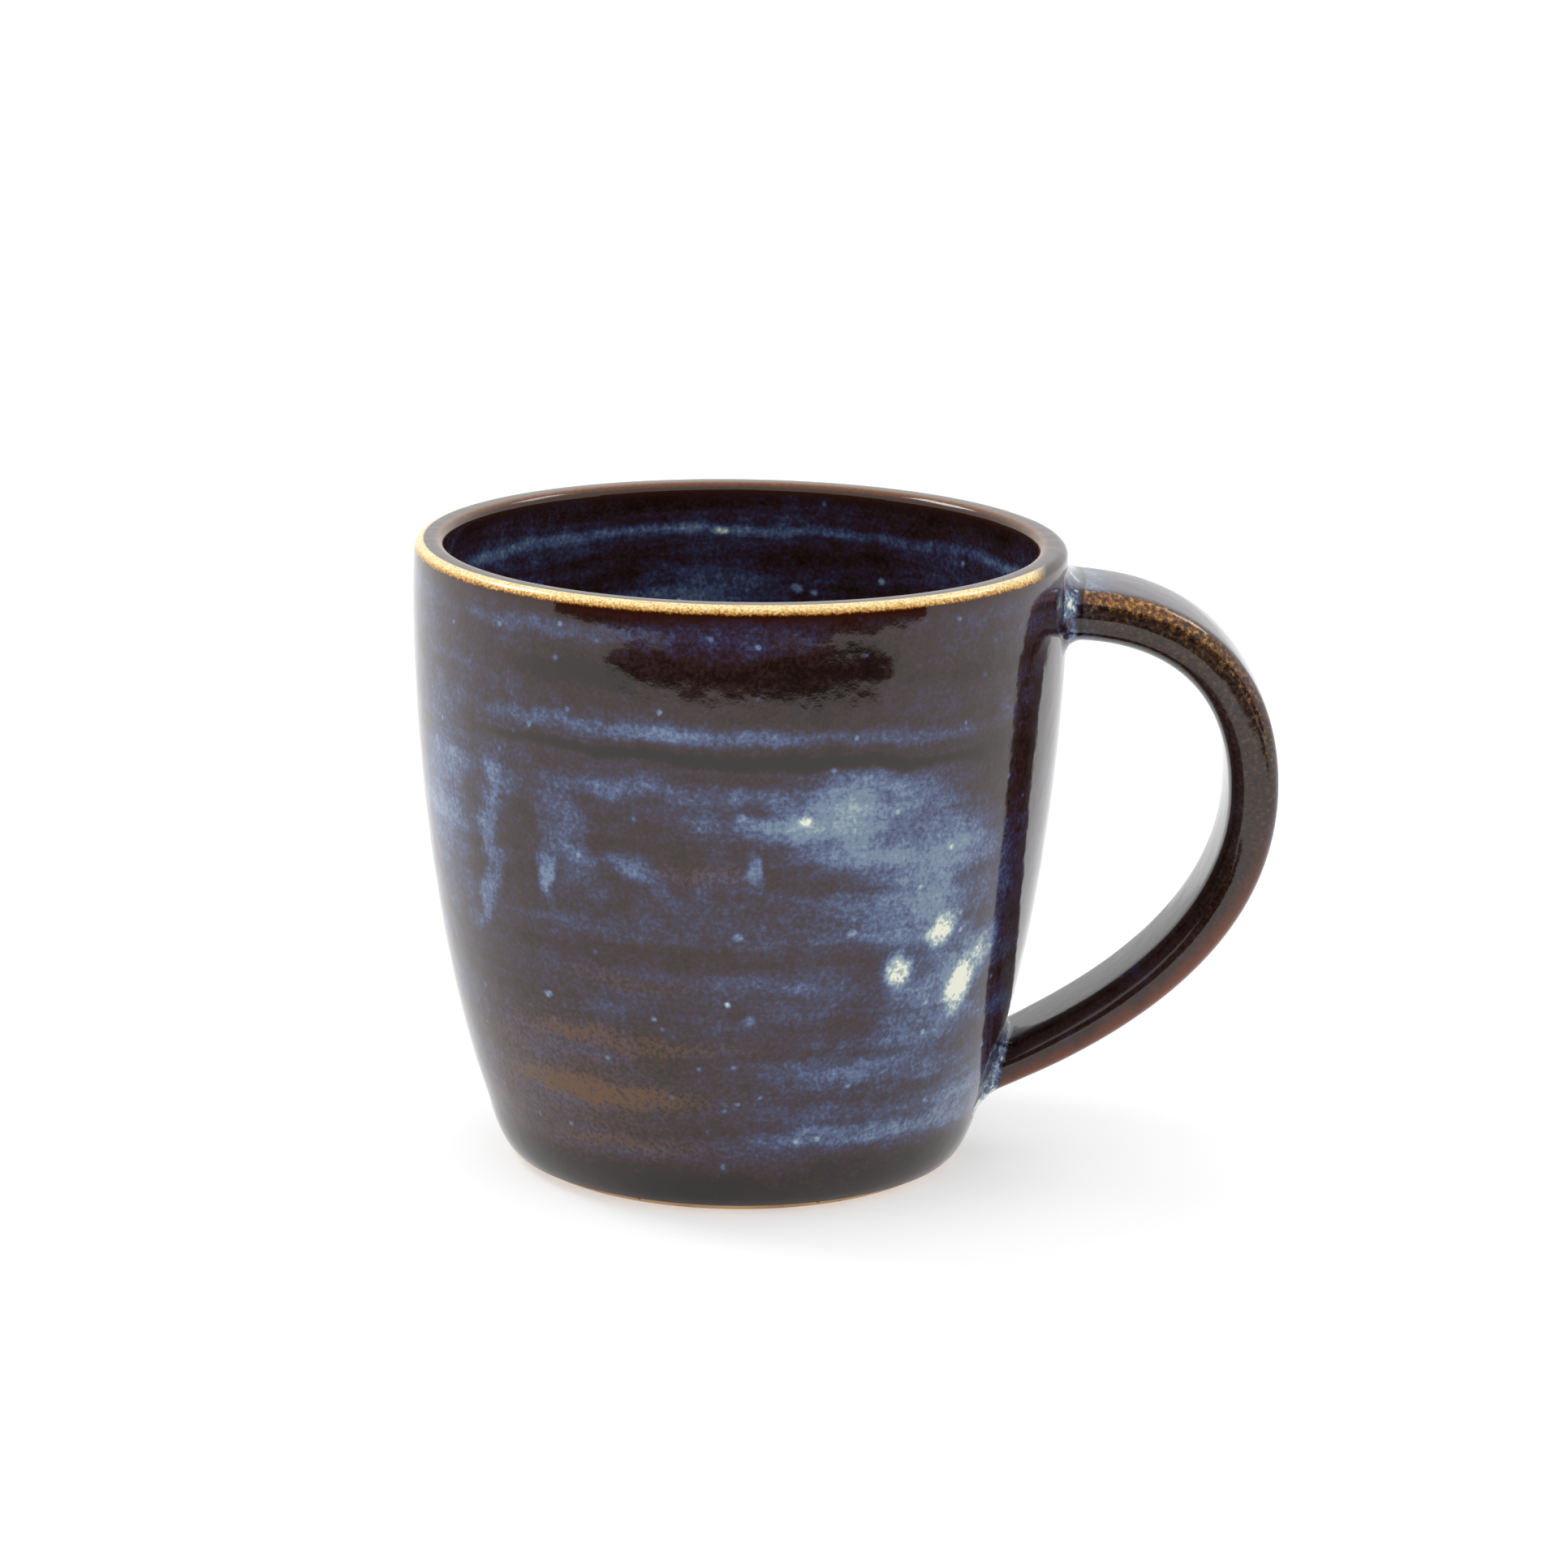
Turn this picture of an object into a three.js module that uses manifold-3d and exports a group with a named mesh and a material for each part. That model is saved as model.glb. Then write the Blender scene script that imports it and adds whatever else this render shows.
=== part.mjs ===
// A glazed ceramic mug: a thrown cup with a flat turned foot, a strap handle luted to its side with two
// pads of slip, and three coats of glaze. Millimetres, +Z up, +X towards the handle. The origin is on the
// cup's axis, in the plane of the foot that it stands on.
import Module from 'manifold-3d';
import * as THREE from 'three';
import { ConvexGeometry } from 'three/addons/geometries/ConvexGeometry.js';
import { mergeVertices } from 'three/addons/utils/BufferGeometryUtils.js';

const wasm = await Module();
wasm.setup();
const { degToRad, lerp } = THREE.MathUtils;

// ---- Driving dimensions ----------------------------------------------------------------------------

// The clay cup
const cupHeight = 85.4;
const rimRadius = 43.7;
const footRadius = 28.8;
const heelHeight = 9;
const heelRadius = 33.8;
const heelFlare = degToRad(29);
const heelFullness = 4;
const wallLean = degToRad(19.5);
const rimLean = degToRad(-4);
const wallThickness = 3;
const floorThickness = 4.5;
const floorCornerRadius = 12;
const lipRounding = 0.7;

// How far the wall's curve holds its lean above the heel and below the rim, as shares of its height
const lowerWallFullness = 0.375;
const upperWallFullness = 0.13;

// The glaze: its thickness, its clearance to the clay, and the height where it stops above the foot
const glazeThickness = 0.5;
const glazeSeam = 0.1;
const glazeLine = 1.2;
const glazeCoat = glazeSeam + glazeThickness;

// The strap handle: its centreline, hung from the rim's height and radius
const upperRootDrop = 7.7;
const lowerRootHeight = 13.1;
const upperRootHeight = cupHeight - upperRootDrop;
const bowReach = rimRadius + 26.4;
const bowHeight = lerp(lowerRootHeight, upperRootHeight, 0.613);
const lowerRootRise = degToRad(24);

// The strap's section at the upper and the lower root
const upperStrapWidth = 18;
const lowerStrapWidth = 15.8;
const upperStrapThickness = 6.9;
const lowerStrapThickness = 4.7;
const strapSquareness = 3;

// How far the centreline runs straight at each end and at the bow, as shares of the bow's height or reach
const rootStraightness = 0.64;
const bowFullness = 0.62;
const lowerBowFullness = 0.43;
const lowerStraightness = 0.6;

// The slip joints: a thin pad between handle and wall, with a fillet that spreads around the root
const slipPad = 0.6;
const slipSpread = 2;
const filletReach = 2.2;
const rootDepth = 2;
const seam = 0.3;

// Facets
const turnFacets = 40;
const heelSteps = 5;
const wallSteps = 8;
const roundingSteps = 3;
const floorSteps = 4;
const sectionPoints = 16;
const strapSteps = 18;

// ---- Outlines, as (radius, height) points ----------------------------------------------------------

function leaning(angle, length) {
  return new THREE.Vector2(Math.sin(angle), Math.cos(angle)).multiplyScalar(length);
}

function heelCurve() {
  const foot = new THREE.Vector2(footRadius, 0);
  const top = new THREE.Vector2(heelRadius, heelHeight);
  const flare = new THREE.Vector2(Math.cos(heelFlare), Math.sin(heelFlare));
  return new THREE.CubicBezierCurve(
    foot,
    foot.clone().addScaledVector(flare, heelFullness),
    top.clone().sub(leaning(wallLean, heelHeight / 4)),
    top,
  );
}

function wallCurve() {
  const heel = new THREE.Vector2(heelRadius, heelHeight);
  const rim = new THREE.Vector2(rimRadius, cupHeight - lipRounding);
  const wallHeight = rim.y - heel.y;
  return new THREE.CubicBezierCurve(
    heel,
    heel.clone().add(leaning(wallLean, wallHeight * lowerWallFullness)),
    rim.clone().sub(leaning(rimLean, wallHeight * upperWallFullness)),
    rim,
  );
}

// A quarter round from one angle to the next, without its last point
function rounding(radius, height, fromAngle) {
  return Array.from({ length: roundingSteps }, (_, step) => {
    const angle = fromAngle + ((step / roundingSteps) * Math.PI) / 2;
    return new THREE.Vector2(radius + lipRounding * Math.cos(angle), height + lipRounding * Math.sin(angle));
  });
}

// Every point moved along its own normal, to the side that is right of the outline's direction
function offsetOutline(outline, distance) {
  return outline.map((point, index) => {
    const before = outline[Math.max(index - 1, 0)];
    const after = outline[Math.min(index + 1, outline.length - 1)];
    const normals = [[before, point], [point, after]]
      .filter(([start, end]) => start !== end)
      .map(([start, end]) => new THREE.Vector2(end.y - start.y, start.x - end.x).normalize());
    const bisector = normals.reduce((sum, normal) => sum.add(normal), new THREE.Vector2()).normalize();
    return point.clone().addScaledVector(bisector, distance / bisector.dot(normals[normals.length - 1]));
  });
}

// From the edge of the foot up the outside to the middle of the lip
function outsideOutline() {
  const lipHeight = cupHeight - lipRounding;
  return [
    ...heelCurve().getPoints(heelSteps).slice(0, -1),
    ...wallCurve().getPoints(wallSteps).slice(0, -1),
    ...rounding(rimRadius - lipRounding, lipHeight, 0),
    new THREE.Vector2(rimRadius - lipRounding, cupHeight),
    new THREE.Vector2(rimRadius - wallThickness / 2, cupHeight),
  ];
}

// From the middle of the lip down the inside to the centre of the floor
function insideOutline() {
  const lipHeight = cupHeight - lipRounding;
  const wall = offsetOutline(wallCurve().getPoints(wallSteps), -wallThickness).reverse();
  const corner = wall.pop();
  const floorEdge = new THREE.Vector2(corner.x - floorCornerRadius, floorThickness);
  const cornerDrop = corner.y - floorThickness;
  const floorCurve = new THREE.CubicBezierCurve(
    corner,
    corner.clone().sub(leaning(wallLean, cornerDrop / 2)),
    floorEdge.clone().add(new THREE.Vector2(floorCornerRadius / 2, 0)),
    floorEdge,
  );
  return [
    new THREE.Vector2(rimRadius - wallThickness / 2, cupHeight),
    ...rounding(rimRadius - wallThickness + lipRounding, lipHeight, Math.PI / 2),
    ...wall,
    ...floorCurve.getPoints(floorSteps),
    new THREE.Vector2(0, floorThickness),
  ];
}

// The part of an upward outline above a height, starting exactly there
function outlineAbove(outline, height) {
  const next = outline.findIndex((point) => point.y > height);
  const [below, above] = [outline[next - 1], outline[next]];
  const start = below.clone().lerp(above, (height - below.y) / (above.y - below.y));
  return [start, ...outline.slice(next)];
}

// The clay wall's outer radius and its direction of rise at a height
function wallAt(height) {
  const outline = outsideOutline();
  const next = outline.findIndex((point) => point.y > height);
  const [below, above] = [outline[next - 1], outline[next]];
  const radius = lerp(below.x, above.x, (height - below.y) / (above.y - below.y));
  const rise = above.clone().sub(below).normalize();
  return { radius, rise: new THREE.Vector3(rise.x, 0, rise.y) };
}

// ---- Solids ----------------------------------------------------------------------------------------

function toSolid(geometry) {
  const bare = geometry.clone();
  bare.deleteAttribute('normal');
  bare.deleteAttribute('uv');
  const merged = mergeVertices(bare, 1e-4);
  const corners = Array.from(merged.index.array);
  const triangles = [];
  for (let at = 0; at < corners.length; at += 3) {
    const [a, b, c] = corners.slice(at, at + 3);
    if (a !== b && b !== c && c !== a) triangles.push(a, b, c);
  }
  const vertProperties = new Float32Array(merged.attributes.position.array);
  const triVerts = new Uint32Array(triangles);
  return new wasm.Manifold(new wasm.Mesh({ numProp: 3, vertProperties, triVerts }));
}

function toGeometry(solid) {
  const mesh = solid.getMesh();
  const geometry = new THREE.BufferGeometry();
  geometry.setAttribute('position', new THREE.BufferAttribute(new Float32Array(mesh.vertProperties), 3));
  geometry.setIndex(new THREE.BufferAttribute(new Uint32Array(mesh.triVerts), 1));
  geometry.computeVertexNormals();
  return geometry;
}

// An outline turned about the upright axis
function turned(outline) {
  return toSolid(new THREE.LatheGeometry(outline, turnFacets).rotateX(Math.PI / 2));
}

// The glaze over an outline of the clay: back along its underside, then out along its face
function coatOutline(outline) {
  const underside = offsetOutline(outline, glazeSeam).reverse();
  return [...underside, ...offsetOutline(outline, glazeCoat)];
}

// Everything inside the cup's outer surface, grown by a distance, with its hollow filled
function cupBlank(grow) {
  const skin = offsetOutline(outsideOutline(), grow);
  return turned([new THREE.Vector2(0, skin[0].y), ...skin, new THREE.Vector2(0, cupHeight + grow)]);
}

// ---- The handle's centreline and section -----------------------------------------------------------

function handlePath() {
  const upper = new THREE.Vector3(wallAt(upperRootHeight).radius, 0, upperRootHeight);
  const lower = new THREE.Vector3(wallAt(lowerRootHeight).radius, 0, lowerRootHeight);
  const bow = new THREE.Vector3(bowReach, 0, bowHeight);
  const out = new THREE.Vector3(1, 0, 0);
  const up = new THREE.Vector3(0, 0, 1);
  const rise = new THREE.Vector3(Math.cos(lowerRootRise), 0, Math.sin(lowerRootRise));
  const upperDrop = upper.z - bow.z;
  const lowerDrop = bow.z - lower.z;
  const upperRun = bow.x - upper.x;
  const lowerRun = bow.x - lower.x;
  const path = new THREE.CurvePath();
  path.add(new THREE.LineCurve3(upper.clone().addScaledVector(out, -rootDepth), upper));
  path.add(new THREE.CubicBezierCurve3(
    upper,
    upper.clone().addScaledVector(out, upperRun * rootStraightness),
    bow.clone().addScaledVector(up, upperDrop * bowFullness),
    bow,
  ));
  path.add(new THREE.CubicBezierCurve3(
    bow,
    bow.clone().addScaledVector(up, -lowerDrop * lowerBowFullness),
    lower.clone().addScaledVector(rise, lowerRun * lowerStraightness / Math.cos(lowerRootRise)),
    lower,
  ));
  path.add(new THREE.LineCurve3(lower, lower.clone().addScaledVector(rise, -rootDepth)));
  return path;
}

const path = handlePath();
const pathLength = path.getLength();
const across = new THREE.Vector3(0, 1, 0);

// Half the strap's width and thickness at a share of the way along the path
function halfSection(share) {
  return {
    width: lerp(upperStrapWidth, lowerStrapWidth, share) / 2,
    thickness: lerp(upperStrapThickness, lowerStrapThickness, share) / 2,
  };
}

// A rounded rectangle of half sizes 1: a circle with its sides pushed out
function unitSection() {
  const rounded = (value) => Math.sign(value) * Math.abs(value) ** (2 / strapSquareness);
  return Array.from({ length: sectionPoints }, (_, index) => {
    const angle = (index / sectionPoints) * 2 * Math.PI;
    return new THREE.Vector2(rounded(Math.cos(angle)), rounded(Math.sin(angle)));
  });
}

// The strap along the whole path, grown by a distance: a straight bar, bent onto the path
function strap(grow) {
  const bar = new THREE.ExtrudeGeometry(new THREE.Shape(unitSection()), {
    steps: strapSteps,
    depth: 1,
    bevelEnabled: false,
  });
  const position = bar.attributes.position;
  for (let index = 0; index < position.count; index += 1) {
    const share = position.getZ(index);
    const half = halfSection(share);
    const outward = new THREE.Vector3().crossVectors(path.getTangentAt(share), across);
    const point = path.getPointAt(share)
      .addScaledVector(across, position.getX(index) * (half.width + grow))
      .addScaledVector(outward, position.getY(index) * (half.thickness + grow));
    position.setXYZ(index, point.x, point.y, point.z);
  }
  return toSolid(bar);
}

// ---- The slip joints -------------------------------------------------------------------------------

// A ring of points around the strap, level with the wall that it meets
function rootRing(share, grow, rise) {
  const half = halfSection(share);
  const outward = new THREE.Vector3().crossVectors(path.getTangentAt(share), across);
  const slant = Math.abs(outward.dot(rise));
  return unitSection().map((corner) => path.getPointAt(share)
    .addScaledVector(across, corner.x * (half.width + grow))
    .addScaledVector(rise, corner.y * ((half.thickness + grow) / slant)));
}

// The outside of the slip around one root: widest at the wall, flush with the glaze further out
function rootBlock(wallShare, outShare, height, grow) {
  const { rise } = wallAt(height);
  return toSolid(new ConvexGeometry([
    ...rootRing(wallShare, slipSpread + grow, rise),
    ...rootRing(outShare, glazeCoat + grow, rise),
  ]));
}

function upperRootBlock(grow) {
  const wallShare = 0;
  const outShare = (rootDepth + filletReach + grow) / pathLength;
  return rootBlock(wallShare, outShare, upperRootHeight, grow);
}

function lowerRootBlock(grow) {
  const wallShare = 1;
  const outShare = 1 - (rootDepth + filletReach + grow) / pathLength;
  return rootBlock(wallShare, outShare, lowerRootHeight, grow);
}

// Slip fills the block around a root, outside the clay wall and outside the end of the handle
function slipJoint(block) {
  const handleSocket = strap(seam).subtract(cupBlank(seam + slipPad));
  return toGeometry(block.subtract(cupBlank(seam)).subtract(handleSocket));
}

// ---- Sub-parts -------------------------------------------------------------------------------------

function clayCup() {
  const outline = [new THREE.Vector2(0, 0), ...outsideOutline(), ...insideOutline().slice(1)];
  return toGeometry(turned(outline));
}

function clayHandle() {
  return toGeometry(strap(0).subtract(cupBlank(seam + slipPad + seam)));
}

// The coat on the outside of the cup, open where the two joints come through it
function outsideGlaze() {
  const clay = outlineAbove(outsideOutline(), glazeLine);
  clay[clay.length - 1].x += glazeSeam / 2;
  const loop = coatOutline(clay);
  const coat = turned([...loop, loop[0].clone()]);
  return toGeometry(coat.subtract(upperRootBlock(seam)).subtract(lowerRootBlock(seam)));
}

function insideGlaze() {
  const clay = insideOutline();
  clay[0].x -= glazeSeam / 2;
  return toGeometry(turned(coatOutline(clay)));
}

// The coat around the strap, from one joint to the other
function handleGlaze() {
  const tube = strap(glazeCoat).subtract(strap(glazeSeam)).subtract(cupBlank(glazeCoat + seam));
  return toGeometry(tube.subtract(upperRootBlock(seam)).subtract(lowerRootBlock(seam)));
}

// ---- Materials -------------------------------------------------------------------------------------

function bareClay() {
  return new THREE.MeshStandardMaterial({ color: '#b08f6a', roughness: 0.85, metalness: 0 });
}

function bodyGlaze() {
  return new THREE.MeshStandardMaterial({ color: '#34324a', roughness: 0.12, metalness: 0 });
}

function pooledGlaze() {
  return new THREE.MeshStandardMaterial({ color: '#8fa6bd', roughness: 0.12, metalness: 0 });
}

// ---- The mug ---------------------------------------------------------------------------------------

function part(name, geometry, material) {
  const mesh = new THREE.Mesh(geometry, material);
  mesh.name = name;
  return mesh;
}

const mug = new THREE.Group();
mug.add(part('clay_cup', clayCup(), bareClay()));
mug.add(part('clay_handle', clayHandle(), bareClay()));
mug.add(part('slip_joint_upper', slipJoint(upperRootBlock(0)), pooledGlaze()));
mug.add(part('slip_joint_lower', slipJoint(lowerRootBlock(0)), pooledGlaze()));
mug.add(part('glaze_outside', outsideGlaze(), bodyGlaze()));
mug.add(part('glaze_inside', insideGlaze(), bodyGlaze()));
mug.add(part('glaze_handle', handleGlaze(), bodyGlaze()));

export default mug;
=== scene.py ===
# %% [markdown]
# # A stoneware mug in a blue-brown reactive glaze
# The real mug is a thrown stoneware cup with a strap handle. It is dipped in a dark iron glaze that goes
# blue and cream where it lies thick, and honey where it runs thin over an edge. Here the clay, the three
# coats of glaze and the two glazed joints are separate pieces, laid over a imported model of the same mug,
# and they keep inside its sizes.

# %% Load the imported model
import math
import bmesh
import bpy
from mathutils import Matrix, Vector


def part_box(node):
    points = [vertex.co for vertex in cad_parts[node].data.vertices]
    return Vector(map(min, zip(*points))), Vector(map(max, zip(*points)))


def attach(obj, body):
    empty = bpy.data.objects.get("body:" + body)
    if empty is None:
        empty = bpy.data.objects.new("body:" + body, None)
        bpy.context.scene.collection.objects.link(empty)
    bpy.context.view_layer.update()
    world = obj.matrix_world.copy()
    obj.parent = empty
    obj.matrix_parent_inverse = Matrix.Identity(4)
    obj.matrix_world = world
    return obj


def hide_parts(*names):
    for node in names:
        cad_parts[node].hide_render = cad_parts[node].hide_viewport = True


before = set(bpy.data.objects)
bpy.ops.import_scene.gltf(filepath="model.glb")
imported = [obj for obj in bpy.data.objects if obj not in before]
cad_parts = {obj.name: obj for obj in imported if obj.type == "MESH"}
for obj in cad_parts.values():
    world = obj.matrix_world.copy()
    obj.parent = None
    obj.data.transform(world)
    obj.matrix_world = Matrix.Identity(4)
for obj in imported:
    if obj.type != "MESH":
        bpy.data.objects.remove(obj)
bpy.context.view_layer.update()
MM = 0.001
cup_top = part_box("clay_cup")[1].z / MM
print("packed model:", sorted(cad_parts), "cup height", round(cup_top, 2), "mm")

# %% [markdown]
# ## The outline of the cup
# A thrown pot is a solid of revolution, so its whole shape is one outline of (distance from the axis,
# height) points. The outline is drawn with a few cubic curves: a flared heel, a wall that leans out and
# comes back upright under the rim, a narrow rounded lip, and a bowl-shaped floor. All the outlines are in
# millimetres.

# %% Curves of the clay
def leaning(degrees, length):
    """A step of a length that leans outwards from upright."""
    return Vector((math.sin(math.radians(degrees)), math.cos(math.radians(degrees)))) * length


def cubic(start, pull, push, end, steps):
    """Points along a cubic curve, both ends included."""
    shares = [step / steps for step in range(steps + 1)]
    return [start * (1 - t) ** 3 + pull * (3 * t * (1 - t) ** 2)
            + push * (3 * t * t * (1 - t)) + end * t ** 3
            for t in shares]


def beside(outline, distance):
    """The outline moved to its left-hand side, which is outwards, by a distance for each height."""
    moved = []
    for index, point in enumerate(outline):
        before = outline[max(index - 1, 0)]
        after = outline[min(index + 1, len(outline) - 1)]
        along = (after - before).normalized()
        moved.append(point + Vector((along.y, -along.x)) * distance(point))
    return moved


def rounding(middle, radius, first, last, steps):
    """Points on a circle between two angles in degrees."""
    angles = [math.radians(first + (last - first) * step / steps) for step in range(steps + 1)]
    return [middle + Vector((math.cos(angle), math.sin(angle))) * radius for angle in angles]


RIM_RADIUS, HEEL_RADIUS, FOOT_RADIUS, HEEL_HEIGHT = 43.7, 33.8, 28.8, 9.0
FOOT_SLOPE, WALL_LEAN, RIM_LEAN = 29.0, 19.5, -4.0
HEEL_PULL, RIM_PULL = 0.375, 0.13
WALL, LIP, FLOOR, FLOOR_CORNER = 3.0, 0.7, 4.5, 12.0
COAT, SEAM = 0.6, 0.1
foot, heel = Vector((FOOT_RADIUS, 0)), Vector((HEEL_RADIUS, HEEL_HEIGHT))
rim = Vector((RIM_RADIUS, cup_top - LIP))
rise = rim.y - heel.y
heel_curve = cubic(foot, foot + leaning(90 - FOOT_SLOPE, 4),
                   heel - leaning(WALL_LEAN, HEEL_HEIGHT / 4), heel, 14)
wall_curve = cubic(heel, heel + leaning(WALL_LEAN, HEEL_PULL * rise),
                   rim - leaning(RIM_LEAN, RIM_PULL * rise), rim, 84)
outer_lip = rounding(rim - Vector((LIP, 0)), LIP, 0, 90, 8)
mid_lip = Vector((RIM_RADIUS - WALL / 2, cup_top))
inner_lip = rounding(Vector((RIM_RADIUS - WALL + LIP, cup_top - LIP)), LIP, 90, 180, 8)
outside = heel_curve + wall_curve[1:] + outer_lip[1:] + [mid_lip]

inner_wall = beside(wall_curve, lambda point: -WALL)[::-1]
corner = inner_wall[-1]
floor_edge = Vector((corner.x - FLOOR_CORNER, FLOOR))
floor_curve = cubic(corner, corner - leaning(WALL_LEAN, (corner.y - FLOOR) / 2),
                    floor_edge + Vector((FLOOR_CORNER / 2, 0)), floor_edge, 20)
floor_flat = [Vector((floor_edge.x * (1 - step / 8), FLOOR)) for step in range(1, 9)]
inside = [mid_lip] + inner_lip + inner_wall[1:] + floor_curve[1:] + floor_flat
print("outline points:", len(outside), "outside,", len(inside), "inside")

# %% [markdown]
# ## Turning an outline
# A potter's wheel turns the clay while the hands hold one outline, and Spin does the same: one vertex is
# extruded from point to point, and the chain of edges is then spun a full turn about the upright axis.
# Drawing the outline first keeps every ring exactly round, which a scaled cylinder with loop cuts would
# not.

# %% Draw an outline and spin it
TURN_STEPS = 192


def deselect_all():
    """Nothing selected, so that the next operator acts only on what it adds."""
    bpy.ops.object.select_all(action="DESELECT")


def turned(name, points):
    """A solid of revolution from (radius, height) points in millimetres."""
    deselect_all()
    bpy.ops.mesh.primitive_plane_add(size=MM, location=(points[0].x * MM, 0, points[0].y * MM))
    piece = bpy.context.object
    piece.name = piece.data.name = name
    bpy.ops.object.transform_apply(location=True, rotation=True, scale=True)
    bpy.ops.object.mode_set(mode="EDIT")
    bpy.ops.mesh.select_all(action="SELECT")
    bpy.ops.mesh.merge(type="CENTER")
    for before, after in zip(points, points[1:]):
        step = (after - before) * MM
        bpy.ops.mesh.extrude_vertices_move(TRANSFORM_OT_translate={"value": (step.x, 0, step.y)})
    bpy.ops.mesh.select_all(action="SELECT")
    bpy.ops.mesh.spin(steps=TURN_STEPS, angle=math.tau, center=(0, 0, 0), axis=(0, 0, 1))
    bpy.ops.mesh.select_all(action="SELECT")
    bpy.ops.mesh.remove_doubles(threshold=2e-6)
    bpy.ops.mesh.normals_make_consistent(inside=False)
    bpy.ops.object.mode_set(mode="OBJECT")
    bpy.ops.object.shade_smooth_by_angle(angle=math.radians(50))
    size = [round(side / MM, 2) for side in piece.dimensions]
    print(name, "is", size, "mm with", len(piece.data.polygons), "faces")
    return piece


# %% [markdown]
# ## The bare clay
# Only the foot is left without glaze, so that the mug doesn't stick to the kiln shelf. It is turned on the
# wheel when the clay is leather-hard: the middle is cut a hair hollow with a few shallow tool rings, and
# the mug stands on a flat ring with a softened edge. The rest of the clay is under the glaze but is
# modelled all the same.

# %% Turn the clay cup
HOLLOW_RADIUS, HOLLOW_DEPTH, HOLLOW_EDGE = 22.5, 0.8, 1.5
RING_DEPTH, RING_SPACING, RING_FADE = 0.09, 2.2, 3.0


def underside_height(radius):
    """The turned underside: a shallow hollow with fine rings inside, a flat ring outside."""
    inwards = HOLLOW_RADIUS - radius
    if inwards < 0:
        return 0
    tool_rings = RING_DEPTH * math.sin(radius * math.tau / RING_SPACING)
    return HOLLOW_DEPTH * min(1, inwards / HOLLOW_EDGE) + tool_rings * min(1, inwards / RING_FADE)


underside = [Vector((radius, underside_height(radius)))
             for radius in [0.0] + [0.4 * step for step in range(1, 70)] + [28.1]]
foot_edge = [Vector((FOOT_RADIUS - 0.3, 0.03)), Vector((FOOT_RADIUS, 0.12))]
clay_outside = [point for point in outside if point.y > 0.3]
clay_cup = turned("cup_bare_stoneware", underside + foot_edge + clay_outside + inside)

# %% [markdown]
# ## Glaze as a coat with a thickness
# The glaze is a skin of glass about half a millimetre thick, so each coat is its own closed solid: its face
# stands off the clay, and its back lies just over it. The face follows the shallow rings that the potter's
# fingers leave in the wall. At the foot the melted glaze ends in a rounded bead, and the two coats meet on
# top of the lip.

# %% Turn the outside and the inside coat
GLAZE_LINE, BEAD = 1.2, 0.9
HAIR, FINGER_DEPTH = 0.01, 0.04


def throwing_rings(level):
    """How far the face lies below the full coat: a hair, and the potter's finger rings on the wall."""
    wide_rings = 0.3 * math.sin(level * math.tau / 9.1 + 0.6)
    narrow_rings = 0.2 * math.sin(level * math.tau / 5.7 + 2.1)
    swell = 0.5 + wide_rings + narrow_rings
    above_heel = min(1, max(0, (level - 4) / 8))
    below_rim = min(1, max(0, (cup_top - 24 - level) / 12))
    return HAIR + FINGER_DEPTH * swell * above_heel * below_rim


def coat_face(point):
    """The outside coat's thickness, which rounds off to nothing at the glaze line."""
    run = min(1, max(0, (point.y - GLAZE_LINE) / BEAD))
    return SEAM + (COAT - SEAM) * math.sqrt(1 - (1 - run) ** 2) - throwing_rings(point.y)


covered = [point for point in outside if point.y > GLAZE_LINE + 0.02]
# Up to the glaze line the heel's curve has already bent up by a hair
HEEL_BEND = 0.985
run_out = GLAZE_LINE / math.tan(math.radians(FOOT_SLOPE)) * HEEL_BEND
glaze_start = Vector((FOOT_RADIUS + run_out, GLAZE_LINE + 0.02))
bead = [glaze_start.lerp(covered[0], share / 6) for share in range(6)]
outer_face = beside(bead + covered, coat_face)
# The backs are hidden, so every fourth point is enough for them
outer_back = beside((bead + covered)[::-4][::-1], lambda point: SEAM)
glaze_outside = turned("glaze_coat_outside", outer_face + outer_back[::-1] + outer_face[:1])

inner_face = beside(inside, lambda point: COAT - throwing_rings(point.y) if point.y > FLOOR else COAT)
inner_back = beside(inside[:-1:4] + [inside[-1]], lambda point: SEAM)
inner_face[-1].x = inner_back[-1].x = 0
glaze_inside = turned("glaze_coat_inside", inner_back[::-1] + inner_face)
print("glaze line at", GLAZE_LINE, "mm, lip top at", round(outer_face[-1].y, 2), "mm")

# %% [markdown]
# ## The strap handle
# A pulled handle is a strap of clay whose section shrinks a little from the upper root to the lower one.
# Its outside edges are crisp arrises, its finger side is softer, and its faces are slightly crowned. The
# section is modelled once from a plane with bevelled corners, then extruded ring by ring along the
# centreline, where each ring is moved, turned and scaled. A curve with a bevel would be quicker, but it
# can't thin the strap by itself.

# %% The handle's centreline
ROOT_DROP, LOWER_ROOT, BOW_REACH = 7.7, 13.1, 26.4
BOW_SHARE, LOWER_RISE = 0.613, 24.0
ROOT_PULL, BOW_PULL_UP, BOW_PULL_DOWN, LOWER_PULL = 0.64, 0.62, 0.43, 0.6


def clay_radius(level):
    """The clay wall's outer radius at a height."""
    above = next(index for index, point in enumerate(outside) if point.y > level)
    low, high = outside[above - 1], outside[above]
    return low.x + (high.x - low.x) * (level - low.y) / (high.y - low.y)


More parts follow.
